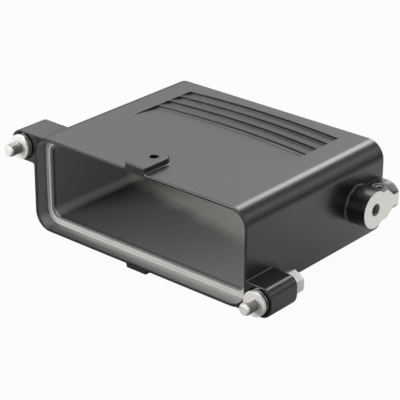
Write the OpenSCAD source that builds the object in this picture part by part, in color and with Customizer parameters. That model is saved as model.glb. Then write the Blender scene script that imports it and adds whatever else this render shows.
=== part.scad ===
// Hood of a rectangular heavy-duty connector, lying on one broad side.
// X runs along the mouth's long side, Y runs from the mating rim to the back, Z is up.
// The origin is the centre of the mating rim. Sizes are in millimetres.

/* [Body] */
// Length of the mouth's long side
body_w = 131; // [120:1:150]
// Height between the two broad faces
body_h = 48.4; // [46:0.2:60]
// Depth from the mating rim to the back face
body_d = 101; // [98:1:130]
// Radius of the four long edges
corner_r = 9; // [8:0.5:11]
// Radius round the back face
back_edge_r = 0.5; // [0.3:0.1:2]

/* [Mouth] */
// Thickness of the rim round the mouth
rim_t = 1.5; // [1.2:0.1:2]
// Depth of the pocket that the seal lies in
pocket_d = 7.6; // [6:0.1:10]
// Thickness of the side walls behind the pocket
wall_t = 5.5; // [5:0.1:7]
// Thickness of the back wall
back_t = 5; // [4:0.5:8]
// Radius of the cavity's long inner edges
cavity_r = 4.5; // [3:0.5:6]

/* [Seal] */
// Thickness of the seal's flat web
seal_t = 1.2; // [0.8:0.1:2]
// Gap between the seal and the pocket's wall
seal_room = 0.1; // [0.05:0.05:0.3]
// Distance from the cavity's edge to the seal's inner edge
seal_inset = 0.6; // [0.2:0.1:1]
// Distance from the pocket's wall to the outer bead
bead_set = 0.8; // [0.4:0.1:1.5]
// Width of each of the seal's two beads
bead_w = 0.9; // [0.6:0.1:1.1]
// Height of the beads above the web
bead_h = 0.4; // [0.2:0.1:0.8]

/* [Lugs] */
// Distance of a lug's front face from the rim
lug_front = 0; // [0:0.1:2]
// Wall round the spring's counterbore
lug_wall = 1; // [0.8:0.1:3]
// Gap between the counterbore and the line of the body's side
lug_gap = 0.2; // [0:0.1:2]
// Wall between the counterbore and the lug's face beside the broad face
lug_floor = 0.7; // [0.5:0.1:3]
// How far that face lies below the broad face
lug_inset = 0.5; // [0.2:0.1:1.5]
// Radius of a lug's outer edge on the side of the broad face
lug_flush_r = 6; // [3:0.5:7]
// Radius of a lug's outer edge on the other side
lug_inner_r = 4.5; // [3:0.5:7]
// Fillet between a lug and the body's side
lug_fillet = 1; // [0.5:0.1:2]
// Depth of the counterbore
counterbore_d = 11.5; // [10:0.5:13]
// Wall between the counterbore's floor and the lug's back face
lug_seat = 6.5; // [4:0.1:10]

/* [Locking screws] */
// Outside diameter of the thread
thread_dia = 6; // [5:0.5:6.5]
// Step between the thread and the reduced shank behind it
shoulder = 0.65; // [0.5:0.05:1]
// How far the screw's end stands out of the retaining washer
screw_end = 7; // [5:0.1:12]
// Length of the plain point at the screw's end
point_len = 2.6; // [1:0.1:4]
// Step between the thread and the plain point
point_step = 0.4; // [0.2:0.05:0.8]
// Width across the flats of the hexagon head
head_flats = 10; // [9:0.5:11]
// Height of the hexagon head
head_h = 6.6; // [3:0.1:8]
// Radial room round the thread in the lug
thread_room = 0.3; // [0.2:0.05:0.5]

/* [Washers] */
// Outside diameter of the washers
washer_dia = 12; // [11.6:0.1:14]
// Thickness of the washers
washer_t = 1.6; // [1:0.1:2]
// Radial room between the retaining washer and the counterbore
washer_room = 0.5; // [0.3:0.05:0.8]
// Gap between a lug's front face and its retaining washer
washer_stand = 1.6; // [0.8:0.1:3]
// Radial room between the retaining washer and the reduced shank
neck_room = 0.3; // [0.2:0.05:0.4]
// Radial room between the head washer and the thread that passes it
head_washer_room = 0.2; // [0.1:0.05:0.5]

/* [Springs] */
// Diameter of the spring wire
wire_dia = 1; // [0.6:0.1:1.2]
// Radial room between the spring and its counterbore
spring_room = 0.5; // [0.3:0.05:1]
// Turns of the spring, with a closed turn at each end
spring_turns = 6; // [5:1:7]
// Gap between a spring's end and its seat
spring_seat = 0.05; // [0.02:0.01:0.1]

/* [Tabs] */
// Width of the drilled tabs on the long rims
tab_w = 12.2; // [9:0.1:16]
// Height of the upper tab above the broad face
tab_h = 2.9; // [2:0.1:4]
// Height of the lower tab below the other broad face
lower_tab_h = 2.2; // [2:0.1:4]
// Length of a tab from the rim to its round end
tab_len = 20.3; // [16:0.1:26]
// Distance of a tab's hole from the rim
tab_hole_y = 13.1; // [10:0.1:16]
// Diameter of a tab's hole
tab_hole_dia = 4.3; // [3:0.1:6]
// Depth of a tab's hole
tab_hole_d = 6; // [4:0.5:7]
// Fillet round the foot of a tab
tab_fillet = 0.8; // [0.3:0.1:1.5]

/* [Finger grip] */
// Distance from the grip's ends to the body's sides
grip_margin = 19.4; // [12:0.1:30]
// Number of short steps behind the long one
grip_steps = 3; // [2:1:4]
// Distance from one short step to the next
grip_pitch = 8.1; // [6:0.1:9]
// Length of the long step in front of the short ones
grip_lead = 18.2; // [10:0.1:24]
// Depth of a step at its back end
grip_depth = 1.2; // [0.6:0.1:2]
// Distance from the last step to the back face, in the middle
grip_back = 7.4; // [6:0.1:16]
// Radius of the last step's curve, seen from above
grip_r = 370; // [200:10:800]

/* [Earth boss] */
// Diameter of the boss
boss_dia = 18.4; // [14:0.2:22]
// Height of the boss above the body's side
boss_h = 10.8; // [9:0.1:14]
// Distance from the boss's axis to the back face
boss_back = 20.4; // [18:0.1:26]
// Fillet round the foot of the boss
boss_fillet = 1; // [0.5:0.1:2]
// Core diameter of the tapped earth hole
earth_dia = 5; // [4:0.1:7]
// Depth of the tapped earth hole
earth_d = 13; // [8:0.5:14]
// Width of the chamfer at the mouth of the earth hole
earth_chamfer = 0.5; // [0.2:0.1:1]

/* [Eyelet] */
// Height of the eyelet beside the boss
eyelet_h = 14.6; // [10:0.2:18]
// Distance from the eyelet's round end to the back face
eyelet_back = 2; // [1:0.1:4]
// Length of the eyelet's end that is fully round
eyelet_end = 4.3; // [3:0.1:6]
// Width of the machined flat where it runs out at the round end
eyelet_flat = 5.7; // [3:0.1:8]
// Distance from the boss's edge to the middle of the eyelet's hole
eyelet_hole_set = 0.4; // [0:0.1:2]
// Distance from the body's side to the eyelet's hole
eyelet_hole_out = 5.6; // [5:0.1:7]
// Diameter of the eyelet's hole
eyelet_hole_dia = 2.4; // [1.5:0.1:3]
// Width of the countersinks of the eyelet's hole
eyelet_sink = 0.8; // [0.3:0.1:1]
// Diameter of the spot faces round the eyelet's hole
eyelet_spot_dia = 6.4; // [5:0.1:7]
// Depth of the spot faces
eyelet_spot_d = 0.2; // [0.1:0.05:0.5]

/* [Cable entry] */
// Core diameter of the tapped cable entry
entry_dia = 30.4; // [18:0.1:32]
// Wall of the collar round the entry
collar_wall = 4.8; // [3:0.1:5]
// Height of the collar above the back face
collar_h = 4.5; // [2:0.5:5]
// Chamfer on the collar's edges
collar_chamfer = 0.8; // [0.3:0.1:1.2]

/* [Hidden] */
$fn = 64;
eps = 0.01;
over = 1;
half_w = body_w / 2;
half_h = body_h / 2;
counterbore_dia = washer_dia + 2 * washer_room;
spring_dia = counterbore_dia - 2 * spring_room;
neck_dia = thread_dia - 2 * shoulder;
point_dia = thread_dia - 2 * point_step;
screw_x = half_w + lug_gap + counterbore_dia / 2;
screw_z = half_h - lug_inset - lug_floor - counterbore_dia / 2;
counterbore_floor = lug_front + counterbore_d;
lug_back = counterbore_floor + lug_seat;
washer_back = lug_front - washer_stand;
washer_front = washer_back - washer_t;
head_washer_back = lug_back + washer_t;
screw_tip = washer_front - screw_end;
boss_y = body_d - boss_back;
boss_face_x = half_w + boss_h;
collar_r = entry_dia / 2 + collar_wall;
tab_round_y = tab_len - tab_w / 2;
wire_sides = 8;
wire_steps = 24;

coat = [0.24, 0.25, 0.25];
rubber = [0.45, 0.45, 0.44];
stainless = [0.80, 0.80, 0.79];

// Runs a flat outline, drawn in X and Z, from one depth to another.
module run_y(y0, y1) {
    translate([0, y1, 0]) rotate([90, 0, 0]) linear_extrude(y1 - y0) children();
}

// A cylinder along Y.
module rod_y(d, y0, y1) {
    translate([0, y0, 0]) rotate([-90, 0, 0]) cylinder(d = d, h = y1 - y0);
}

// A rectangle with rounded corners, about the origin.
module rounded_rect(w, h, r) {
    square([w - 2 * r, h], center = true);
    square([w, h - 2 * r], center = true);
    for (x = [-1, 1], z = [-1, 1])
        translate([x * (w / 2 - r), z * (h / 2 - r)]) circle(r);
}

// A rounded rectangle set in from the body's outline.
module body_outline(inset, r) {
    rounded_rect(body_w - 2 * inset, body_h - 2 * inset, r);
}

// The body's outline set in, with corners about the body's own centres.
module pocket_outline(inset) {
    body_outline(inset, corner_r - inset);
}

// The cavity's outline moved in or out, with corners about the cavity's centres.
module cavity_outline(inset) {
    body_outline(inset, cavity_r + wall_t - inset);
}

// Flat fillet in the corner between two edges that meet at the origin.
module fillet(r) {
    difference() {
        translate([-eps, -eps]) square(r + eps);
        translate([r, r]) circle(r);
    }
}

// The right side as drawn, and the left side as the same turned half round the Y axis.
module on_side(side) {
    rotate([0, side == "left" ? 180 : 0, 0]) children();
}

// The body's block with its back edge rounded all round.
module body_block() {
    e = back_edge_r;
    y = body_d - e;
    run_y(0, y) pocket_outline(0);
    run_y(y - eps, body_d) pocket_outline(e);
    for (s = [-1, 1]) {
        translate([0, y, s * (half_h - e)]) rotate([0, 90, 0])
            cylinder(r = e, h = body_w - 2 * corner_r, center = true);
        translate([s * (half_w - e), y, 0])
            cylinder(r = e, h = body_h - 2 * corner_r, center = true);
    }
    for (x = [-1, 1], z = [-1, 1])
        translate([x * (half_w - corner_r), y, z * (half_h - corner_r)]) rotate([90, 0, 0])
            rotate_extrude() translate([corner_r - e, 0]) circle(e);
}

// Section of a lug across the screw, for the right side, beside the lower broad face.
module lug_outline() {
    x0 = half_w - corner_r;
    x1 = screw_x + counterbore_dia / 2 + lug_wall;
    z0 = lug_inset - half_h;
    z1 = counterbore_dia / 2 + lug_wall - screw_z;
    lug_h = z1 - z0;
    translate([x0, z0]) square([x1 - x0 - lug_flush_r, lug_h - lug_inner_r]);
    translate([x0, z0 + lug_flush_r]) square([x1 - x0 - lug_inner_r, lug_h - lug_flush_r]);
    translate([x0, z0 + lug_flush_r]) square([x1 - x0, lug_h - lug_flush_r - lug_inner_r]);
    translate([x1 - lug_flush_r, z0 + lug_flush_r]) circle(lug_flush_r);
    translate([x1 - lug_inner_r, z1 - lug_inner_r]) circle(lug_inner_r);
    translate([half_w, z1]) fillet(lug_fillet);
}

// Counterbore for the spring and clearance hole for the screw, through one lug.
module lug_bores() {
    translate([screw_x, 0, -screw_z]) {
        rod_y(counterbore_dia, lug_front - over, counterbore_floor);
        rod_y(thread_dia + 2 * thread_room, counterbore_floor - over, lug_back + over);
    }
}

// Outline of a tab seen from above, from the rim to its round end.
module tab_outline() {
    translate([-tab_w / 2, 0]) square([tab_w, tab_round_y]);
    translate([0, tab_round_y]) circle(d = tab_w);
}

// A tab on the upper broad face, with a fillet along its sides and round its end.
module tab(high) {
    translate([0, 0, half_h - rim_t / 2]) linear_extrude(rim_t / 2 + high) tab_outline();
    for (s = [0, 1])
        mirror([s, 0, 0]) run_y(0, tab_round_y)
            translate([tab_w / 2, half_h]) fillet(tab_fillet);
    translate([0, tab_round_y, half_h])
        rotate_extrude(angle = 180) translate([tab_w / 2, 0]) fillet(tab_fillet);
}

// The hole of a tab on the upper broad face.
module tab_hole(high) {
    translate([0, tab_hole_y, half_h + high - tab_hole_d])
        cylinder(d = tab_hole_dia, h = tab_hole_d + over);
}

// Profile of the grip's steps: each falls towards the back and ends at an upright wall.
module grip_profile() {
    lengths = concat([grip_lead], [for (i = [1:grip_steps]) grip_pitch]);
    for (i = [0:grip_steps]) {
        r1 = grip_r - (grip_steps - i) * grip_pitch;
        r0 = r1 - lengths[i];
        polygon([[r0, 0], [r1, -grip_depth], [r1, over], [r0, over]]);
    }
}

// The grip's steps, turned about a far axis so that they bow to the back, between straight ends.
module grip_cut() {
    grip_w = body_w - 2 * grip_margin;
    sweep = 2 * asin(grip_w / grip_r);
    translate([0, 0, half_h]) intersection() {
        translate([0, body_d - grip_back - grip_r, 0]) rotate([0, 0, 90 - sweep / 2])
            rotate_extrude(angle = sweep) grip_profile();
        translate([-grip_w / 2, 0, -2 * grip_depth]) cube([grip_w, body_d, 2 * grip_depth + over]);
    }
}

// Round boss for the earth screw, with its foot fillet, along +X.
module earth_boss() {
    r = boss_dia / 2;
    translate([half_w - over, boss_y, 0]) rotate([0, 90, 0]) cylinder(r = r, h = boss_h + over);
    translate([half_w, boss_y, 0]) rotate([0, 90, 0])
        rotate_extrude() translate([r, 0]) fillet(boss_fillet);
}

// Eyelet beside the boss: square as far as the boss's edge, drawn in behind it, then round to its end.
module eyelet() {
    x0 = half_w - over;
    end_y = body_d - eyelet_back;
    round_y = end_y - eyelet_end;
    hull() {
        translate([x0, boss_y, -eyelet_h / 2]) cube([boss_face_x - x0, boss_dia / 2, eyelet_h]);
        run_y(round_y, round_y + eps) eyelet_end_outline(x0);
    }
    run_y(round_y, end_y) eyelet_end_outline(x0);
}

// The eyelet's round end, across Y, with the boss's machined face cutting it off.
module eyelet_end_outline(x0) {
    r = eyelet_h / 2;
    round_x = boss_face_x - sqrt(r * r - eyelet_flat * eyelet_flat / 4);
    intersection() {
        union() {
            translate([round_x, 0]) circle(r, $fn = 48);
            translate([x0, -r]) square([round_x - x0, eyelet_h]);
        }
        translate([x0, -r]) square([boss_face_x - x0, eyelet_h]);
    }
}

// The eyelet's hole, spot faced and countersunk from both ends.
module eyelet_hole() {
    face_z = eyelet_h / 2 - eyelet_spot_d;
    mouth_dia = eyelet_hole_dia + 4 * eyelet_sink;
    translate([half_w + eyelet_hole_out, boss_y + boss_dia / 2 + eyelet_hole_set, 0]) {
        cylinder(d = eyelet_hole_dia, h = eyelet_h, center = true);
        for (a = [0, 180])
            rotate([a, 0, 0]) translate([0, 0, face_z]) {
                cylinder(d = eyelet_spot_dia, h = eyelet_spot_d + over);
                translate([0, 0, -eyelet_sink])
                    cylinder(d1 = eyelet_hole_dia, d2 = mouth_dia, h = 2 * eyelet_sink);
            }
    }
}

// The tapped earth hole with its chamfer.
module earth_hole() {
    translate([boss_face_x - earth_d, boss_y, 0]) rotate([0, 90, 0]) {
        cylinder(d = earth_dia, h = earth_d + over);
        translate([0, 0, earth_d - earth_chamfer])
            cylinder(d1 = earth_dia, d2 = earth_dia + 4 * earth_chamfer, h = 2 * earth_chamfer);
    }
}

// Collar round the cable entry, turned about Y.
module entry_collar() {
    c = collar_chamfer;
    translate([0, body_d, 0]) rotate([-90, 0, 0]) {
        translate([0, 0, -over]) cylinder(r = collar_r, h = over + collar_h - c);
        translate([0, 0, collar_h - c]) cylinder(r1 = collar_r, r2 = collar_r - c, h = c);
    }
}

// The tapped cable entry through the back wall and the collar.
module entry_hole() {
    c = collar_chamfer;
    end = body_d + collar_h;
    rod_y(entry_dia, body_d - back_t - over, end + over);
    translate([0, end - c, 0]) rotate([-90, 0, 0])
        cylinder(d1 = entry_dia, d2 = entry_dia + 4 * c, h = 2 * c);
}

// The casting, with everything that is cut into it.
module hood_shell() {
    color(coat) difference() {
        union() {
            body_block();
            for (s = ["right", "left"])
                on_side(s) run_y(lug_front, lug_back) lug_outline();
            tab(tab_h);
            rotate([0, 180, 0]) tab(lower_tab_h);
            earth_boss();
            eyelet();
            entry_collar();
        }
        run_y(-over, pocket_d) pocket_outline(rim_t);
        run_y(pocket_d - over, body_d - back_t) cavity_outline(wall_t);
        for (s = ["right", "left"])
            on_side(s) lug_bores();
        tab_hole(tab_h);
        rotate([0, 180, 0]) tab_hole(lower_tab_h);
        grip_cut();
        earth_hole();
        eyelet_hole();
        entry_hole();
    }
}

// Flat web on the pocket's floor with two raised beads, left by cutting round them.
module mating_seal() {
    bead = rim_t + bead_set;
    web_front = pocket_d - seal_t;
    bead_front = web_front - bead_h;
    inner = wall_t - seal_inset;
    color(rubber) difference() {
        run_y(bead_front, pocket_d) difference() {
            pocket_outline(rim_t + seal_room);
            cavity_outline(inner);
        }
        run_y(bead_front - over, web_front) difference() {
            pocket_outline(rim_t - over);
            pocket_outline(bead);
        }
        run_y(bead_front - over, web_front) difference() {
            pocket_outline(bead + bead_w);
            cavity_outline(inner - bead_w);
        }
    }
}

// Hexagon head screw: head behind the lug, reduced shank through it, thread and point in front.
module locking_screw() {
    point_start = screw_tip + point_len;
    corner = head_flats / sqrt(3);
    head_end = head_washer_back + head_h;
    color(stainless) translate([screw_x, 0, -screw_z]) {
        rod_y(neck_dia, washer_front - eps, head_washer_back + eps);
        rod_y(thread_dia, point_start + point_step, washer_front);
        translate([0, point_start, 0]) rotate([-90, 0, 0])
            cylinder(d1 = point_dia, d2 = thread_dia, h = point_step);
        rod_y(point_dia, screw_tip + point_step, point_start);
        translate([0, screw_tip, 0]) rotate([-90, 0, 0])
            cylinder(d1 = point_dia - 2 * point_step, d2 = point_dia, h = point_step);
        intersection() {
            translate([0, head_washer_back, 0]) rotate([-90, 0, 0]) cylinder(r = corner, h = head_h, $fn = 6);
            translate([0, head_end, 0]) rotate([90, 0, 0])
                cylinder(r1 = head_flats / 2, r2 = head_flats / 2 + 2 * head_h, h = head_h + over);
        }
    }
}

// A flat ring round the screw.
module washer(hole_dia, y0) {
    color(stainless) translate([screw_x, 0, -screw_z]) difference() {
        rod_y(washer_dia, y0, y0 + washer_t);
        rod_y(hole_dia, y0 - over, y0 + washer_t + over);
    }
}

// Disc trapped on the reduced shank by the end of the thread.
module retaining_washer() {
    washer(neck_dia + 2 * neck_room, washer_front);
}

// Plain washer between the lug's back face and the screw's head.
module head_washer() {
    washer(thread_dia + 2 * head_washer_room, lug_back);
}

// Compression spring from the counterbore's floor to the retaining washer, with closed ends.
module spring() {
    y0 = washer_back + spring_seat + wire_dia / 2;
    y1 = counterbore_floor - spring_seat - wire_dia / 2;
    open = (y1 - y0 - 2 * wire_dia) / (spring_turns - 2);
    rise = function (t) t < 1 ? t * wire_dia
        : t > spring_turns - 1 ? y1 - y0 - (spring_turns - t) * wire_dia
        : wire_dia + (t - 1) * open;
    coil_r = (spring_dia - wire_dia) / 2;
    rings = spring_turns * wire_steps;
    points = [
        for (i = [0:rings], k = [0:wire_sides - 1])
            let (
                a = 360 * i / wire_steps,
                b = 360 * k / wire_sides,
                r = coil_r + wire_dia / 2 * cos(b)
            )
            [r * cos(a), y0 + rise(i / wire_steps) + wire_dia / 2 * sin(b), r * sin(a)]
    ];
    ring = function (i) [for (k = [0:wire_sides - 1]) i * wire_sides + k];
    faces = concat(
        [ring(0)],
        [[for (k = [wire_sides - 1:-1:0]) rings * wire_sides + k]],
        [
            for (i = [0:rings - 1], k = [0:wire_sides - 1])
                let (n = (k + 1) % wire_sides)
                [ring(i)[n], ring(i)[k], ring(i + 1)[k], ring(i + 1)[n]]
        ]
    );
    color(stainless) translate([screw_x, 0, -screw_z]) polyhedron(points, faces);
}

hood_shell();
mating_seal();
on_side("left") locking_screw();  // left_locking_screw
on_side("left") retaining_washer();  // left_retaining_washer
on_side("left") spring();  // left_spring
on_side("left") head_washer();  // left_head_washer
on_side("right") locking_screw();  // right_locking_screw
on_side("right") retaining_washer();  // right_retaining_washer
on_side("right") spring();  // right_spring
on_side("right") head_washer();  // right_head_washer
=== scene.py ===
import math

import bpy
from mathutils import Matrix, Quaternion, Vector


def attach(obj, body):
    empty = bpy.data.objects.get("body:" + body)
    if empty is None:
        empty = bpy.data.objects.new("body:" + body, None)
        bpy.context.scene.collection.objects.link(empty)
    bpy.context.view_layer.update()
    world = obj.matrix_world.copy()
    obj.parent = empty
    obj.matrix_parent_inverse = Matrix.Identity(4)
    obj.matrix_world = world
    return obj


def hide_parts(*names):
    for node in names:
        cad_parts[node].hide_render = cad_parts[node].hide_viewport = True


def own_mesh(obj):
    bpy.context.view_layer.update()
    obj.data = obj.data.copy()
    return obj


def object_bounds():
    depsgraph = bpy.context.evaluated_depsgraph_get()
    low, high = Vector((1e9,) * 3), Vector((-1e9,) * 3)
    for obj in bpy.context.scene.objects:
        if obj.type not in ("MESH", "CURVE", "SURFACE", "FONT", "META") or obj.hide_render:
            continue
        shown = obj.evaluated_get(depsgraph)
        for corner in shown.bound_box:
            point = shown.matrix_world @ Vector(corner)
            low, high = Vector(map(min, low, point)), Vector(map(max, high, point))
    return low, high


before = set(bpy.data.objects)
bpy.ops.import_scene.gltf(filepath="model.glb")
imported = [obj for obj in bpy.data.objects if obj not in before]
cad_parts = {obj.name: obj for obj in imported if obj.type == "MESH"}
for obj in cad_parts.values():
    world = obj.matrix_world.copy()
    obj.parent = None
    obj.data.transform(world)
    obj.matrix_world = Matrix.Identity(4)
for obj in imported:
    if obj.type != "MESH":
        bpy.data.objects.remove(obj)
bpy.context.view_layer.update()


# The hood casting: body, lugs, tabs, earth boss and eyelet in one aluminium die casting with tumbled edges
# and a black satin coat, thinner inside the mouth, where painted light and shade set its tones and it is made
# lighter deep in. The boss's end is milled bare after coating, and the earth hole and the cable entry are
# tapped.
MM = 0.001
BODY_SIDE, BODY_TOP, CORNER_R = 65.5 * MM, 24.2 * MM, 9 * MM
BRIM_START = 19 * MM
GRIP_FRONT, GRIP_HALF_WIDTH, GRIP_REACH = 45 * MM, 47 * MM, 2.2 * MM
TAB_HALF_WIDTH = 10 * MM
TAB_TOPS = (27.1 * MM, -26.4 * MM)
TAB_HOLE_Y, TAB_HOLE_ROOM = 13.1 * MM, 3 * MM
BOSS_Y, BOSS_FACE_X = 80.6 * MM, 76.3 * MM
BOSS_FRONT = 60 * MM
EYELET_X, EYELET_Y = 71.1 * MM, 90.2 * MM
EYELET_CREASE_Y = 94.7 * MM
SPOT_FACE_RING, COUNTERSINK_RING = (2.9 * MM, 3.3 * MM), (1.25 * MM, 1.7 * MM)
CAVITY = Vector((60.0, 96.0, 18.7)) * MM
POCKET = Vector((64.0, 7.6, 22.7)) * MM
POCKET_R = 7.5 * MM
BARE_FROM, BARE_FULLY, BARE_WANDER = 45 * MM, 54 * MM, 12 * MM
EARTH_R, EARTH_PITCH, EARTH_TAP_LENGTH = 3.0 * MM, 1.0 * MM, 10.6 * MM
ENTRY_R, ENTRY_PITCH, ENTRY_TAP_START = 16.0 * MM, 1.5 * MM, 94.5 * MM
EDGE_ANGLE = math.radians(32)
EDGE_ROUND, GRIP_EDGE_ROUND, TAB_EDGE_ROUND = 0.25 * MM, 0.08 * MM, 0.7 * MM
RIDGE_SHARE = 0.52
RIDGE_STEPS, RIDGE_START = 41, math.radians(2.3)
MASK_BLUR = 0.2 * MM
COAT = (0.007, 0.0073, 0.0076, 1)
THIN_COAT = (0.078, 0.082, 0.081, 1)
# The next three tones inside the mouth are painted light: on the end walls, the +X side and the low pocket
# wall.
END_WALL_PAINTED_LIGHT = (0.19, 0.2, 0.195, 1)
RIGHT_SIDE_PAINTED_LIGHT = (0.30, 0.305, 0.295, 1)
LOW_POCKET_PAINTED_LIGHT = (0.52, 0.52, 0.505, 1)
# Bare cast metal; the same colour also paints a highlight along the cavity's long corners.
BARE_CAST_AND_PAINTED_LIGHT = (0.56, 0.555, 0.53, 1)
MILLED = (0.69, 0.672, 0.635, 1)


def alone(piece):
    """Leaves only this piece selected, and makes it the active one."""
    bpy.ops.object.select_all(action="DESELECT")
    piece.select_set(True)
    bpy.context.view_layer.objects.active = piece


def apply(piece, kind, **settings):
    """Adds a modifier to a piece, sets it and applies it."""
    alone(piece)
    modifier = piece.modifiers.new(kind.lower(), kind)
    for setting, value in settings.items():
        setattr(modifier, setting, value)
    bpy.ops.object.modifier_apply(modifier=modifier.name)


def copy_of(node, name):
    """A copy of a CAD node's mesh as a new piece, with its loose triangles joined into clean faces."""
    piece = bpy.data.objects.new(name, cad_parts[node].data.copy())
    bpy.context.scene.collection.objects.link(piece)
    piece.data.materials.clear()
    alone(piece)
    bpy.ops.mesh.customdata_custom_splitnormals_clear()
    bpy.ops.object.mode_set(mode="EDIT")
    bpy.ops.mesh.select_all(action="SELECT")
    bpy.ops.mesh.remove_doubles(threshold=0.002 * MM)
    bpy.ops.mesh.dissolve_limited(angle_limit=math.radians(0.3))
    bpy.ops.object.mode_set(mode="OBJECT")
    return piece


def round_edges(piece, width, angle=EDGE_ANGLE, share=None):
    """Rounds the sharp edges of a piece, by the share of the width that suits the edge's middle."""
    alone(piece)
    bpy.ops.object.mode_set(mode="EDIT")
    bpy.ops.mesh.select_mode(type="EDGE")
    bpy.ops.mesh.select_all(action="DESELECT")
    bpy.ops.mesh.edges_select_sharp(sharpness=angle)
    bpy.ops.object.mode_set(mode="OBJECT")
    corners = piece.data.vertices
    weights = piece.data.attributes.new("bevel_weight_edge", "FLOAT", "EDGE")
    for edge in piece.data.edges:
        middle = (corners[edge.vertices[0]].co + corners[edge.vertices[1]].co) / 2
        weights.data[edge.index].value = edge.select * (share(middle) if share else 1)
    apply(piece, "BEVEL", limit_method="WEIGHT", width=width, segments=3, use_clamp_overlap=False)


def smooth(piece):
    """Shades a piece as smooth faces with flat faces kept flat."""
    alone(piece)
    bpy.ops.object.shade_smooth_by_angle(angle=math.radians(50))
    apply(piece, "WEIGHTED_NORMAL", mode="FACE_AREA", weight=80, keep_sharp=True)


def place(piece, location, rotation=(0, 0, 0)):
    """Turns and moves a piece and writes its place into its mesh."""
    alone(piece)
    piece.rotation_euler = rotation
    piece.location = location
    bpy.ops.object.transform_apply(location=True, rotation=True, scale=True)


def helix_ridge(name, pitch, turns, middle_r, inward):
    """A three-sided rod wound about Z from z 0 upwards, which cuts a V thread.

    Its steps and its start keep its corners off those of the bore or rod that it cuts.
    """
    bpy.ops.object.select_all(action="DESELECT")
    bpy.ops.mesh.primitive_circle_add(vertices=3, radius=RIDGE_SHARE * pitch, location=(middle_r, 0, 0),
                                      rotation=(math.pi / 2, -math.pi / 2 if inward else math.pi / 2, 0))
    ridge = bpy.context.object
    ridge.name = name
    bpy.ops.object.transform_apply(location=True, rotation=True, scale=True)
    apply(ridge, "SCREW", axis="Z", angle=2 * math.pi, screw_offset=pitch, iterations=turns,
          steps=RIDGE_STEPS, render_steps=RIDGE_STEPS, use_merge_vertices=False)
    place(ridge, (0, 0, 0), (0, 0, RIDGE_START))
    alone(ridge)
    bpy.ops.object.mode_set(mode="EDIT")
    bpy.ops.mesh.select_all(action="SELECT")
    bpy.ops.mesh.fill_holes(sides=3)
    bpy.ops.mesh.select_all(action="SELECT")
    bpy.ops.mesh.normals_make_consistent(inside=False)
    bpy.ops.object.mode_set(mode="OBJECT")
    return ridge


def cut(piece, tool, operation="DIFFERENCE"):
    """Cuts a tool's shape out of a piece, or joins or crosses the two, and removes the tool."""
    apply(piece, "BOOLEAN", operation=operation, solver="EXACT", object=tool)
    bpy.data.objects.remove(tool)


class Shade:
    """One output of a node in a finish. Arithmetic on it adds Math nodes to the same finish."""

    def __init__(self, tree, socket=None):
        self.tree = tree
        self.socket = socket

    def node(self, kind, sockets=(), out=0, **settings):
        """A new node with its settings, then its sockets' values or links, as one of its outputs."""
        made = self.tree.nodes.new(kind)
        for setting, value in settings.items():
            setattr(made, setting, value)
        for key, value in dict(sockets).items():
            if isinstance(value, Shade):
                self.tree.links.new(value.socket, made.inputs[key])
            else:
                made.inputs[key].default_value = value
        return Shade(self.tree, made.outputs[out] if made.outputs else None)

    def math(self, operation, *values):
        """A Math node on some values."""
        return self.node("ShaderNodeMath", enumerate(values), operation=operation)

    def __add__(self, other):
        return self.math("ADD", self, other)

    def __sub__(self, other):
        return self.math("SUBTRACT", self, other)

    def __rsub__(self, other):
        return self.math("SUBTRACT", other, self)

    def __mul__(self, other):
        return self.math("MULTIPLY", self, other)

    def __pow__(self, other):
        return self.math("POWER", self, other)

    __radd__ = __add__
    __rmul__ = __mul__

    def other(self, out):
        """Another output of the same node."""
        return Shade(self.tree, self.socket.node.outputs[out])

    def axes(self):
        """The three numbers of a vector."""
        split = self.node("ShaderNodeSeparateXYZ", {0: self})
        return [split.other(i) for i in range(3)]

    def step(self, low, high):
        """0 below low and 1 above high, with an even slope between."""
        return self.node("ShaderNodeMapRange", {0: self, 1: low, 2: high, 3: 0.0, 4: 1.0})

    def within(self, limit, blur):
        """1 where this value is under a limit, and 0 past it."""
        return 1 - self.step(limit, limit + blur)

    def size(self):
        """This value without its sign."""
        return self.math("ABSOLUTE", self)

    def past(self, limit):
        """How far this value lies past a limit, or 0."""
        return self.math("MAXIMUM", self - limit, 0.0)

    def bump(self, shader, strength, distance):
        """Raises the shader's surface by this value."""
        raised = self.node("ShaderNodeBump", {"Strength": strength, "Distance": distance, "Height": self})
        self.tree.links.new(raised.socket, shader.inputs["Normal"])

    def colour(self, none, full):
        """A colour that goes from one to another as this value goes from 0 to 1."""
        return self.node("ShaderNodeMix", {"Factor": self, 6: none, 7: full}, out=2, data_type="RGBA")

    def noise(self, scale, detail=2.0, rough=0.5):
        """Cloudy noise over a position."""
        return self.node("ShaderNodeTexNoise",
                         {"Vector": self, "Scale": scale, "Detail": detail, "Roughness": rough})


def finish(name):
    """A new material, its object position and its shader."""
    made = bpy.data.materials.new(name)
    made.use_nodes = True
    at = Shade(made.node_tree).node("ShaderNodeTexCoord", out=3)
    return made, at, made.node_tree.nodes["Principled BSDF"]


def feed(shader, **sockets):
    """Sets or links sockets of a shader, with spaces for underscores in their names."""
    for name, value in sockets.items():
        socket = shader.inputs[name.replace("_", " ").title()]
        if isinstance(value, Shade):
            value.tree.links.new(value.socket, socket)
        else:
            socket.default_value = value


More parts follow.
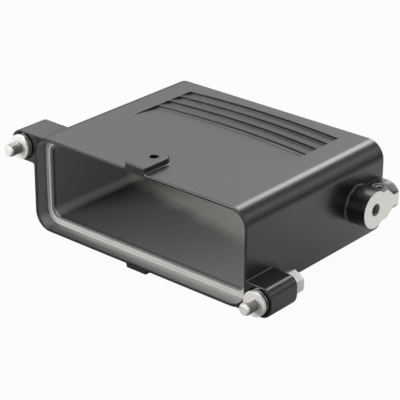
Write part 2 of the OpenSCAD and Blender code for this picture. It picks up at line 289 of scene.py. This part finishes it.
def edge_share(middle):
    """The share of the tabs' rounding that an edge of the casting gets.

    The tabs and the upper brim are rounder than the rest, and the grip is sharper. The eyelet's crease isn't
    rounded.
    """
    if middle.x > BODY_SIDE and abs(middle.y - EYELET_CREASE_Y) < 0.2 * MM:
        return 0
    in_grip = abs(middle.x) < GRIP_HALF_WIDTH and middle.y > GRIP_FRONT
    if in_grip and BODY_TOP - GRIP_REACH < middle.z < BODY_TOP + 0.1 * MM:
        return GRIP_EDGE_ROUND / TAB_EDGE_ROUND
    on_tab = min(abs(middle.z - top) for top in TAB_TOPS) < 0.05 * MM and abs(middle.x) < TAB_HALF_WIDTH
    in_hole = math.hypot(middle.x, middle.y - TAB_HOLE_Y) < TAB_HOLE_ROOM
    if on_tab and not in_hole:
        return 1
    from_corner = math.hypot(max(abs(middle.x) - BODY_SIDE + CORNER_R, 0),
                             max(abs(middle.z) - BODY_TOP + CORNER_R, 0))
    on_brim = abs(middle.y) < 0.02 * MM and from_corner > CORNER_R - 0.7 * MM and abs(middle.x) < BODY_SIDE
    brim = min(max((middle.z - BRIM_START) / (BODY_TOP - BRIM_START), 0), 1) if on_brim else 0
    plain = EDGE_ROUND / TAB_EDGE_ROUND
    return plain + brim * (1 - plain)


hood = copy_of("hood_shell", "hood_casting")
round_edges(hood, TAB_EDGE_ROUND, share=edge_share)
earth_tap = helix_ridge("earth_tap", EARTH_PITCH, turns=11,
                        middle_r=EARTH_R - RIDGE_SHARE * EARTH_PITCH, inward=False)
place(earth_tap, (BOSS_FACE_X - EARTH_TAP_LENGTH, BOSS_Y, 0), (0, math.pi / 2, 0))
cut(hood, earth_tap)
entry_tap = helix_ridge("entry_tap", ENTRY_PITCH, turns=8,
                        middle_r=ENTRY_R - RIDGE_SHARE * ENTRY_PITCH, inward=False)
place(entry_tap, (0, ENTRY_TAP_START, 0), (-math.pi / 2, 0, 0))
cut(hood, entry_tap)
smooth(hood)

coat, at, shader = finish("satin_coat")
x, y, z = at.axes()
cloud = at.noise(22.0, 3.0)
streak = at.noise(90.0, 4.0, 0.6)
peel = at.noise(700.0, 2.0)
grain = at.noise(2600.0, 2.0)
outside = x.step(BODY_SIDE, BODY_SIDE + MASK_BLUR)
milled = x.step(BOSS_FACE_X - 0.06 * MM, BOSS_FACE_X - 0.04 * MM) * y.step(BOSS_FRONT, BOSS_FRONT + 0.1 * MM)

# Where the mouth is: the pocket's rounded outline, from just behind the rim to the cavity's end.
round_corner = (x.size().past(POCKET.x - POCKET_R) ** 2.0 + z.size().past(POCKET.z - POCKET_R) ** 2.0) ** 0.5
in_pocket = round_corner.within(POCKET_R + MASK_BLUR, MASK_BLUR)
mouth = in_pocket * y.step(0.3 * MM, 0.5 * MM) * y.within(CAVITY.y, MASK_BLUR)

# Where the colour goes to bare cast metal: in the threads and round the eyelet's hole. The same colour paints
# a highlight along the cavity's long corners, makes the cavity lighter deep in and lays lighter streaks on
# the eyelet's end.
# The cavity is made lighter deep in, behind a wandering line.
deep = (y + x * 0.2 + (streak - 0.5) * BARE_WANDER).step(BARE_FROM, BARE_FULLY) * mouth
# Painted highlight: the cavity's long corner fillets get the bare colour, standing in for the light streak
# along them.
from_long_corner = ((CAVITY.x - x.size()) ** 2.0 + (CAVITY.z - z.size()) ** 2.0) ** 0.5
corner_painted_highlight = from_long_corner.within(1.5 * MM, 2.5 * MM) * mouth
from_boss = ((y - BOSS_Y) ** 2.0 + z ** 2.0) ** 0.5
# The earth hole's thread is bare metal, mixed in at 0.4 below so that the hole stays darker as painted shade.
tapped = from_boss.within(EARTH_R + 0.3 * MM, MASK_BLUR) * outside
from_entry = (x ** 2.0 + z ** 2.0) ** 0.5
gland = from_entry.within(ENTRY_R + 0.2 * MM, MASK_BLUR) * y.step(CAVITY.y, CAVITY.y + MASK_BLUR)
from_eyelet = ((x - EYELET_X) ** 2.0 + (y - EYELET_Y) ** 2.0) ** 0.5
spot_face, countersink = (from_eyelet.step(start, start + 0.1 * MM) * from_eyelet.within(end, MASK_BLUR)
                          for start, end in (SPOT_FACE_RING, COUNTERSINK_RING))
sunk = (spot_face + countersink) * z.size().step(5.0 * MM, 5.4 * MM)
# Lighter streaks on the eyelet's rounded end.
eyelet_end_streaks = from_eyelet.step(5.0 * MM, 5.6 * MM) * outside * y.step(93 * MM, 96 * MM) * streak.step(0.4, 0.6)
lightened_sum = tapped * 0.4 + gland * 0.6 + sunk * 0.6 + deep * 0.75 + corner_painted_highlight * 0.7 + eyelet_end_streaks * 0.5
lightened = lightened_sum.math("MINIMUM", lightened_sum, 1.0)

# The tone inside: a thin coat, with painted light that makes it lighter on the end walls and towards +X and
# lightest low in the pocket, and painted shade, a nearly full coat, on the ledge behind the seal.
end_wall = x.size().step(CAVITY.x - 2.5 * MM, CAVITY.x - 0.5 * MM)
inside = x.step(-CAVITY.x + 1 * MM, 45 * MM).colour(end_wall.colour(THIN_COAT, END_WALL_PAINTED_LIGHT), RIGHT_SIDE_PAINTED_LIGHT)
low_wall_painted_light = z.within(-POCKET.z + 0.3 * MM, 1.5 * MM) * y.step(2.5 * MM, 6.5 * MM) * x.step(-POCKET.x, -35 * MM)
ledge_painted_shade = y.step(POCKET.y - 0.4 * MM, POCKET.y - 0.2 * MM) * y.within(POCKET.y + 0.6 * MM, 0.6 * MM)
skin_with_painted_light_and_shade = (mouth * (1 - ledge_painted_shade * 0.8)).colour(COAT, low_wall_painted_light.colour(inside, LOW_POCKET_PAINTED_LIGHT))

coat_rough = 0.23 + cloud * 0.06 + grain * 0.06 + mouth * 0.15 + lightened * 0.15
milled_rough = 0.36 + grain * 0.08
feed(shader,
     base_color=milled.colour(lightened.colour(skin_with_painted_light_and_shade, BARE_CAST_AND_PAINTED_LIGHT), MILLED),
     metallic=milled,
     roughness=(1 - milled) * coat_rough + milled * milled_rough,
     )
shader.inputs["IOR"].default_value = 1.6
((peel + grain * 0.6) * (1 - milled) + grain * 0.2).bump(shader, 0.2, 0.06 * MM)
hood.data.materials.append(coat)
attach(hood, "hood")
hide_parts("hood_shell")


# The mating seal: a moulded ring of grey rubber, pressed into the pocket behind the rim. Two low beads run
# round its front, and its skin has a faint bloom.
SEAL_EDGE_ROUND = 0.12 * MM
SEAL_DARK = (0.38, 0.38, 0.365, 1)
SEAL_PALE = (0.48, 0.48, 0.465, 1)

seal = copy_of("mating_seal", "seal_ring")
round_edges(seal, SEAL_EDGE_ROUND)
smooth(seal)

rubber, at, shader = finish("seal_rubber")
bloom = at.noise(60.0, 4.0, 0.6)
pores = at.noise(3000.0, 2.0)
feed(shader, base_color=bloom.colour(SEAL_DARK, SEAL_PALE), roughness=0.7 + pores * 0.2)
pores.bump(shader, 0.2, 0.04 * MM)
seal.data.materials.append(rubber)
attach(seal, "hood")
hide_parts("mating_seal")


# The locking screws: hexagon head screws of bright plated steel, with a rolled thread that ends in a plain
# point. They are turned down between the head and the thread so that the lugs keep them. The left one is made
# about Z, laid along Y and copied to the right.
SCREW_X, SCREW_Z = -72.2 * MM, 16.5 * MM
TO_RIGHT = Vector((-2 * SCREW_X, 0, -2 * SCREW_Z))
# Rings of radius and height in millimetres: the point, the thread and the reduced shank.
POINT_RINGS = [(2.2, -10.2), (2.6, -9.8), (2.6, -9.5)]
THREAD_RINGS = [(3.0, -9.1), (3.0, -3.2)]
SHANK_RINGS = [(2.35, -3.2), (2.35, 21.5)]
HEAD_START, HEAD_END = 19.6 * MM, 26.2 * MM
HEAD_FLATS = 10 * MM
CHAMFER_R = 4.8 * MM
SCREW_EDGE_ROUND, SCREW_EDGE_ANGLE = 0.1 * MM, math.radians(25)
THREAD_CORE_R, THREAD_PITCH = 2.42 * MM, 1.0 * MM
THREAD_START, THREAD_END = -9.4 * MM, -3.2 * MM
PLATED = (0.87, 0.865, 0.85, 1)
PLATED_DULL = (0.76, 0.755, 0.74, 1)
# The thread's two colours are painted shade: the thread darker than the plating, darkest at its roots.
THREAD_CREST_PAINTED_SHADE = (0.32, 0.305, 0.28, 1)
THREAD_ROOT_PAINTED_SHADE = (0.08, 0.073, 0.065, 1)


def turned(name, profile, sides):
    """A piece turned about Z: each ring of (radius, height) in millimetres is drawn out of the one before."""
    r, low = profile[0]
    bpy.ops.object.select_all(action="DESELECT")
    bpy.ops.mesh.primitive_circle_add(vertices=sides, radius=r * MM, fill_type="NGON",
                                      location=(0, 0, low * MM))
    piece = bpy.context.object
    piece.name = name
    bpy.ops.object.transform_apply(location=True, rotation=True, scale=True)
    bpy.ops.object.mode_set(mode="EDIT")
    bpy.ops.mesh.select_all(action="SELECT")
    for new_r, high in profile[1:]:
        bpy.ops.mesh.extrude_region_move(TRANSFORM_OT_translate={"value": (0, 0, (high - low) * MM)})
        bpy.ops.transform.resize(value=(new_r / r, new_r / r, 1), center_override=(0, 0, high * MM))
        r, low = new_r, high
    bpy.ops.mesh.select_all(action="SELECT")
    bpy.ops.mesh.normals_make_consistent(inside=False)
    bpy.ops.object.mode_set(mode="OBJECT")
    return piece


def along_y(piece):
    """Lays a piece that was made about Z on the left screw's axis, with its heights along +Y."""
    place(piece, (SCREW_X, 0, SCREW_Z), (-math.pi / 2, 0, 0))


def pair(left_piece, right_name):
    """The right-hand copy of a left-hand piece, with its own mesh."""
    right_piece = bpy.data.objects.new(right_name, left_piece.data.copy())
    bpy.context.scene.collection.objects.link(right_piece)
    place(right_piece, TO_RIGHT)
    return right_piece


screw = turned("left_captive_screw", POINT_RINGS + THREAD_RINGS + SHANK_RINGS, 48)
bpy.ops.object.select_all(action="DESELECT")
bpy.ops.mesh.primitive_cylinder_add(vertices=6, radius=HEAD_FLATS / math.sqrt(3), depth=HEAD_END - HEAD_START,
                                    location=(0, 0, (HEAD_START + HEAD_END) / 2))
head = bpy.context.object
bpy.ops.object.transform_apply(location=True, rotation=True, scale=True)
bpy.ops.object.select_all(action="DESELECT")
cone_h = HEAD_END - HEAD_START + 0.2 * MM
bpy.ops.mesh.primitive_cone_add(vertices=96, radius1=CHAMFER_R + 2 * cone_h, radius2=CHAMFER_R, depth=cone_h,
                                location=(0, 0, HEAD_END - cone_h / 2))
chamfer = bpy.context.object
bpy.ops.object.transform_apply(location=True, rotation=True, scale=True)
cut(head, chamfer, "INTERSECT")
cut(screw, head, "UNION")
round_edges(screw, SCREW_EDGE_ROUND, SCREW_EDGE_ANGLE)
die = helix_ridge("screw_die", THREAD_PITCH, turns=6,
                  middle_r=THREAD_CORE_R + RIDGE_SHARE * THREAD_PITCH, inward=True)
place(die, (0, 0, THREAD_START))
cut(screw, die)
along_y(screw)
smooth(screw)

plated, at, shader = finish("plated_steel")
x, y, z = at.axes()
lathe = at.node("ShaderNodeCombineXYZ", {0: x * 0.06, 1: y, 2: z * 0.06}).noise(4200.0, 2.0)
blotch = at.noise(260.0, 3.0, 0.6)
from_axis = ((x.size() + SCREW_X) ** 2.0 + (z.size() - SCREW_Z) ** 2.0) ** 0.5
threaded = y.step(THREAD_START, THREAD_START + 0.4 * MM) * y.within(THREAD_END, MASK_BLUR)
# Painted shade on the thread: darker than the plating, darkest towards the roots.
thread = from_axis.step(2.6 * MM, 2.95 * MM).colour(THREAD_ROOT_PAINTED_SHADE, THREAD_CREST_PAINTED_SHADE)
headed = y.step(HEAD_START - 1 * MM, HEAD_START)
feed(shader,
     base_color=threaded.colour(blotch.colour(PLATED_DULL, PLATED), thread),
     metallic=0.85 + threaded * 0.15 - headed * 0.45,
     roughness=0.34 + lathe * 0.12 + blotch * 0.1,
     )
lathe.bump(shader, 0.12, 0.03 * MM)
screw.data.materials.append(plated)
for side, piece in (("left", screw), ("right", pair(screw, "right_captive_screw"))):
    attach(piece, side + "_screw")
    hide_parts(side + "_locking_screw")


# The washers: each screw carries two of stamped stainless sheet, one in front of the lug, held by the end of
# the thread, and one under the head. Tumbling rounds their edges, and rolling leaves faint marks on their
# faces. Their radii and heights are in millimetres, as the screws' rings are.
WASHER_R, WASHER_T = 6.0, 1.6
RETAINER_HOLE_R, RETAINER_Y = 2.65, -3.2
HEAD_WASHER_HOLE_R, HEAD_WASHER_Y = 3.2, 18.0
WASHER_EDGE_ROUND = 0.15 * MM
STAINLESS = (0.85, 0.845, 0.825, 1)
STAINLESS_DULL = (0.77, 0.765, 0.745, 1)


def pick(piece, verts=None, faces=None):
    """Selects the vertices or faces of a piece, in edit mode, that pass a test."""
    bpy.ops.mesh.select_mode(type="VERT" if verts else "FACE")
    bpy.ops.mesh.select_all(action="DESELECT")
    bpy.ops.object.mode_set(mode="OBJECT")
    for part in piece.data.vertices if verts else piece.data.polygons:
        part.select = bool((verts or faces)(part))
    bpy.ops.object.mode_set(mode="EDIT")


def stamped_washer(name, hole_r, low):
    """A flat washer round the left screw: a disc with both faces inset and the inner rings bridged."""
    piece = turned(name, [(WASHER_R, low), (WASHER_R, low + WASHER_T)], 72)
    alone(piece)
    bpy.ops.object.mode_set(mode="EDIT")
    pick(piece, faces=lambda face: len(face.vertices) > 4)
    bpy.ops.mesh.inset(thickness=(WASHER_R - hole_r) * MM, depth=0)
    bpy.ops.mesh.bridge_edge_loops()
    bpy.ops.object.mode_set(mode="OBJECT")
    round_edges(piece, WASHER_EDGE_ROUND)
    along_y(piece)
    smooth(piece)
    return piece


sheet_steel, at, shader = finish("sheet_steel")
x, y, z = at.axes()
rolled = at.node("ShaderNodeCombineXYZ", {0: x * 0.12, 1: y, 2: z}).noise(2600.0, 3.0)
blotch = at.noise(300.0, 3.0, 0.6)
feed(shader,
     base_color=blotch.colour(STAINLESS_DULL, STAINLESS),
     metallic=1.0,
     roughness=0.48 + rolled * 0.12,
     )
rolled.bump(shader, 0.1, 0.03 * MM)
for kind, hole_r, low in (("retaining", RETAINER_HOLE_R, RETAINER_Y),
                          ("head", HEAD_WASHER_HOLE_R, HEAD_WASHER_Y)):
    washer = stamped_washer(f"left_{kind}_disc", hole_r, low)
    washer.data.materials.append(sheet_steel)
    for side, piece in (("left", washer), ("right", pair(washer, f"right_{kind}_disc"))):
        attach(piece, side + "_retainer")
        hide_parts(f"{side}_{kind}_washer")


# The springs: drawn steel wire in the lugs' counterbores, wound with a closed turn at each end. Each presses
# the front washer, and with it the screw, away from the counterbore's floor.
WIRE_R, COIL_R = 0.5 * MM, 5.5 * MM
SPRING_LOW, SPRING_HIGH = -1.55 * MM, 11.45 * MM
TURNS, TURN_STEPS = 6, 40
# The wire's two tones are darkened as painted shade, standing in for the shade in the counterbores.
WIRE_PAINTED_SHADE_PALE = (0.26, 0.255, 0.245, 1)
WIRE_PAINTED_SHADE_DARK = (0.17, 0.167, 0.16, 1)

open_pitch = (SPRING_HIGH - SPRING_LOW - 6 * WIRE_R) / (TURNS - 2)
path_low = SPRING_LOW + 3 * WIRE_R - open_pitch
bpy.ops.object.select_all(action="DESELECT")
bpy.ops.mesh.primitive_plane_add(size=WIRE_R, location=(COIL_R, 0, path_low))
coil = bpy.context.object
coil.name = "left_coil"
bpy.ops.object.transform_apply(location=True, rotation=True, scale=True)
bpy.ops.object.mode_set(mode="EDIT")
bpy.ops.mesh.select_all(action="SELECT")
bpy.ops.mesh.merge(type="CENTER")
bpy.ops.object.mode_set(mode="OBJECT")
apply(coil, "SCREW", axis="Z", angle=2 * math.pi, screw_offset=open_pitch, iterations=TURNS,
      steps=TURN_STEPS, render_steps=TURN_STEPS)
alone(coil)
bpy.ops.object.mode_set(mode="EDIT")
for turn_end, outward in ((path_low + open_pitch, -1), (path_low + (TURNS - 1) * open_pitch, 1)):
    pick(coil, verts=lambda vert: (vert.co.z - turn_end) * outward > 0)
    bpy.ops.transform.resize(value=(1, 1, 2 * WIRE_R / open_pitch), center_override=(0, 0, turn_end))
bpy.ops.object.mode_set(mode="OBJECT")
alone(coil)
bpy.ops.object.convert(target="CURVE")
coil.data.bevel_depth = WIRE_R
coil.data.bevel_resolution = 3
coil.data.use_fill_caps = True
bpy.ops.object.convert(target="MESH")
along_y(coil)
smooth(coil)

wire, at, shader = finish("spring_wire")
drawn = at.noise(1500.0, 3.0)
feed(shader, base_color=drawn.colour(WIRE_PAINTED_SHADE_DARK, WIRE_PAINTED_SHADE_PALE), metallic=1.0, roughness=0.25 + drawn * 0.15)
coil.data.materials.append(wire)
for side, piece in (("left", coil), ("right", pair(coil, "right_coil"))):
    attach(piece, "hood")
    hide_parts(side + "_spring")
    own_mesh(piece)


# The studio: a white paper floor, soft lamps overhead, behind and in front, and cards, a backdrop and a
# softbox that only reflections show. The softbox draws the line along the body's corner. The camera stands to
# the front right, a little above.
FLOOR_SIZE = 6
PAPER = (0.32, 0.32, 0.32, 1)
WHITE = (1, 1, 1, 1)
LAMP_AIM = Vector((0, 0.05, 0))
AIM = Vector((0, 50.5 * MM, 0))
AZIMUTH, ELEVATION, ROLL = math.radians(40.54), math.radians(24.42), math.radians(0.3)
DISTANCE = 790.3 * MM
SENSOR_MM = 36
FOCAL_PX, FRAME_PX = 1664.0, 400
SHIFT_X_PX, SHIFT_Y_PX = -7.66, -14.78

bpy.ops.object.select_all(action="DESELECT")
bpy.ops.mesh.primitive_plane_add(size=FLOOR_SIZE, location=(0, 0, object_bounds()[0].z))
floor = bpy.context.object
floor.name = "floor"
bpy.ops.object.transform_apply(location=True, rotation=True, scale=True)
paper = bpy.data.materials.new("white_paper")
paper.use_nodes = True
paper.node_tree.nodes.clear()
start = Shade(paper.node_tree)
is_camera = start.node("ShaderNodeLightPath", out="Is Camera Ray")
is_glossy = is_camera.other("Is Glossy Ray")
lit = start.node("ShaderNodeBsdfDiffuse", {"Color": PAPER})
glow = start.node("ShaderNodeEmission", {"Color": WHITE, "Strength": 1.0})
floor_x, floor_y, _ = start.node("ShaderNodeTexCoord", out=3).axes()
around = ((floor_x ** 2.0 + floor_y ** 2.0) ** 0.5).within(0.2, 0.3)
behind_hood = floor_y.step(0.1, 0.115)
clear = behind_hood.math("MAXIMUM", behind_hood, floor_x.size().step(0.058, 0.072))
back_card = floor_y.step(0.0, 0.115) * clear
left_card = floor_x.within(-0.125, 0.02) * floor_y.within(0.0, 0.03)
lug_card = floor_x.step(0.08, 0.09) * floor_y.step(-0.02, 0.0) * floor_y.within(0.04, 0.03)
mirrored_floor = 0.02 + around * (back_card * 0.98 + left_card * 0.5 + lug_card * 0.3)
share = is_camera * 0.96 + is_glossy * mirrored_floor
surface = start.node("ShaderNodeMixShader", {0: share, 1: lit, 2: glow})
start.node("ShaderNodeOutputMaterial", {0: surface})
floor.data.materials.append(paper)

world = bpy.data.worlds.new("studio")
world.use_nodes = True
world.node_tree.nodes.clear()
bpy.context.scene.world = world
start = Shade(world.node_tree)
is_camera = start.node("ShaderNodeLightPath", out="Is Camera Ray")
is_glossy = is_camera.other("Is Glossy Ray")
mirrored = is_glossy.math("MAXIMUM", is_glossy, is_camera.other("Is Transmission Ray"))
way_x, way_y, way_z = start.node("ShaderNodeTexCoord").axes()
backdrop = 0.2 + way_z.step(0.03, 0.22) * 0.65 + way_z.step(0.33, 0.45) * 0.95
softbox = way_x.within(-0.5, 0.1) * way_y.step(0.0, 0.2) * way_z.step(0.68, 0.72) * way_z.within(0.80, 0.04)
right = way_x.step(-0.25, -0.12)
front = way_y.within(0.2, 0.3) * way_z.step(0.4, 0.5) * (1 - right)
dark_right = right * way_z.step(0.46, 0.60) * 1.5
dark_above = (1 - right) * (1 - front) * way_z.step(0.80, 0.88) * 1.4
studio = backdrop + softbox * 5.0 - dark_right - dark_above - front * 1.6
strength = is_camera + mirrored * studio + (1 - is_camera) * (1 - mirrored) * 0.35
sky = start.node("ShaderNodeBackground", {"Color": WHITE, "Strength": strength})
start.node("ShaderNodeOutputWorld", {0: sky})


def lamp(name, location, size, power):
    """A square soft lamp aimed at the hood."""
    data = bpy.data.lights.new(name, "AREA")
    data.shape = "SQUARE"
    data.size = size
    data.energy = power
    made = bpy.data.objects.new(name, data)
    made.location = location
    made.rotation_euler = (LAMP_AIM - Vector(location)).to_track_quat("-Z", "Y").to_euler()
    bpy.context.scene.collection.objects.link(made)


lamp("overhead", (0.0, 0.1, 1.3), size=0.8, power=6)
lamp("behind", (-0.21, 0.92, 0.80), size=0.4, power=3.3)
lamp("front_left", (-0.45, -0.95, 0.32), size=0.5, power=11)
lamp("front_right", (0.6, -1.0, 0.16), size=0.5, power=2)

level = math.cos(ELEVATION)
back = Vector((math.sin(AZIMUTH) * level, -math.cos(AZIMUTH) * level, math.sin(ELEVATION)))
lens = bpy.data.cameras.new("camera")
lens.sensor_width = SENSOR_MM
lens.lens = SENSOR_MM * FOCAL_PX / FRAME_PX
lens.shift_x = SHIFT_X_PX / FRAME_PX
lens.shift_y = SHIFT_Y_PX / FRAME_PX
lens.clip_start, lens.clip_end = 0.01, 20
camera = bpy.data.objects.new("camera", lens)
camera.location = AIM + back * DISTANCE
camera.rotation_euler = ((-back).to_track_quat("-Z", "Y") @ Quaternion((0, 0, 1), ROLL)).to_euler()
bpy.context.scene.collection.objects.link(camera)
bpy.context.scene.camera = camera
bpy.context.scene.view_settings.view_transform = "Standard"
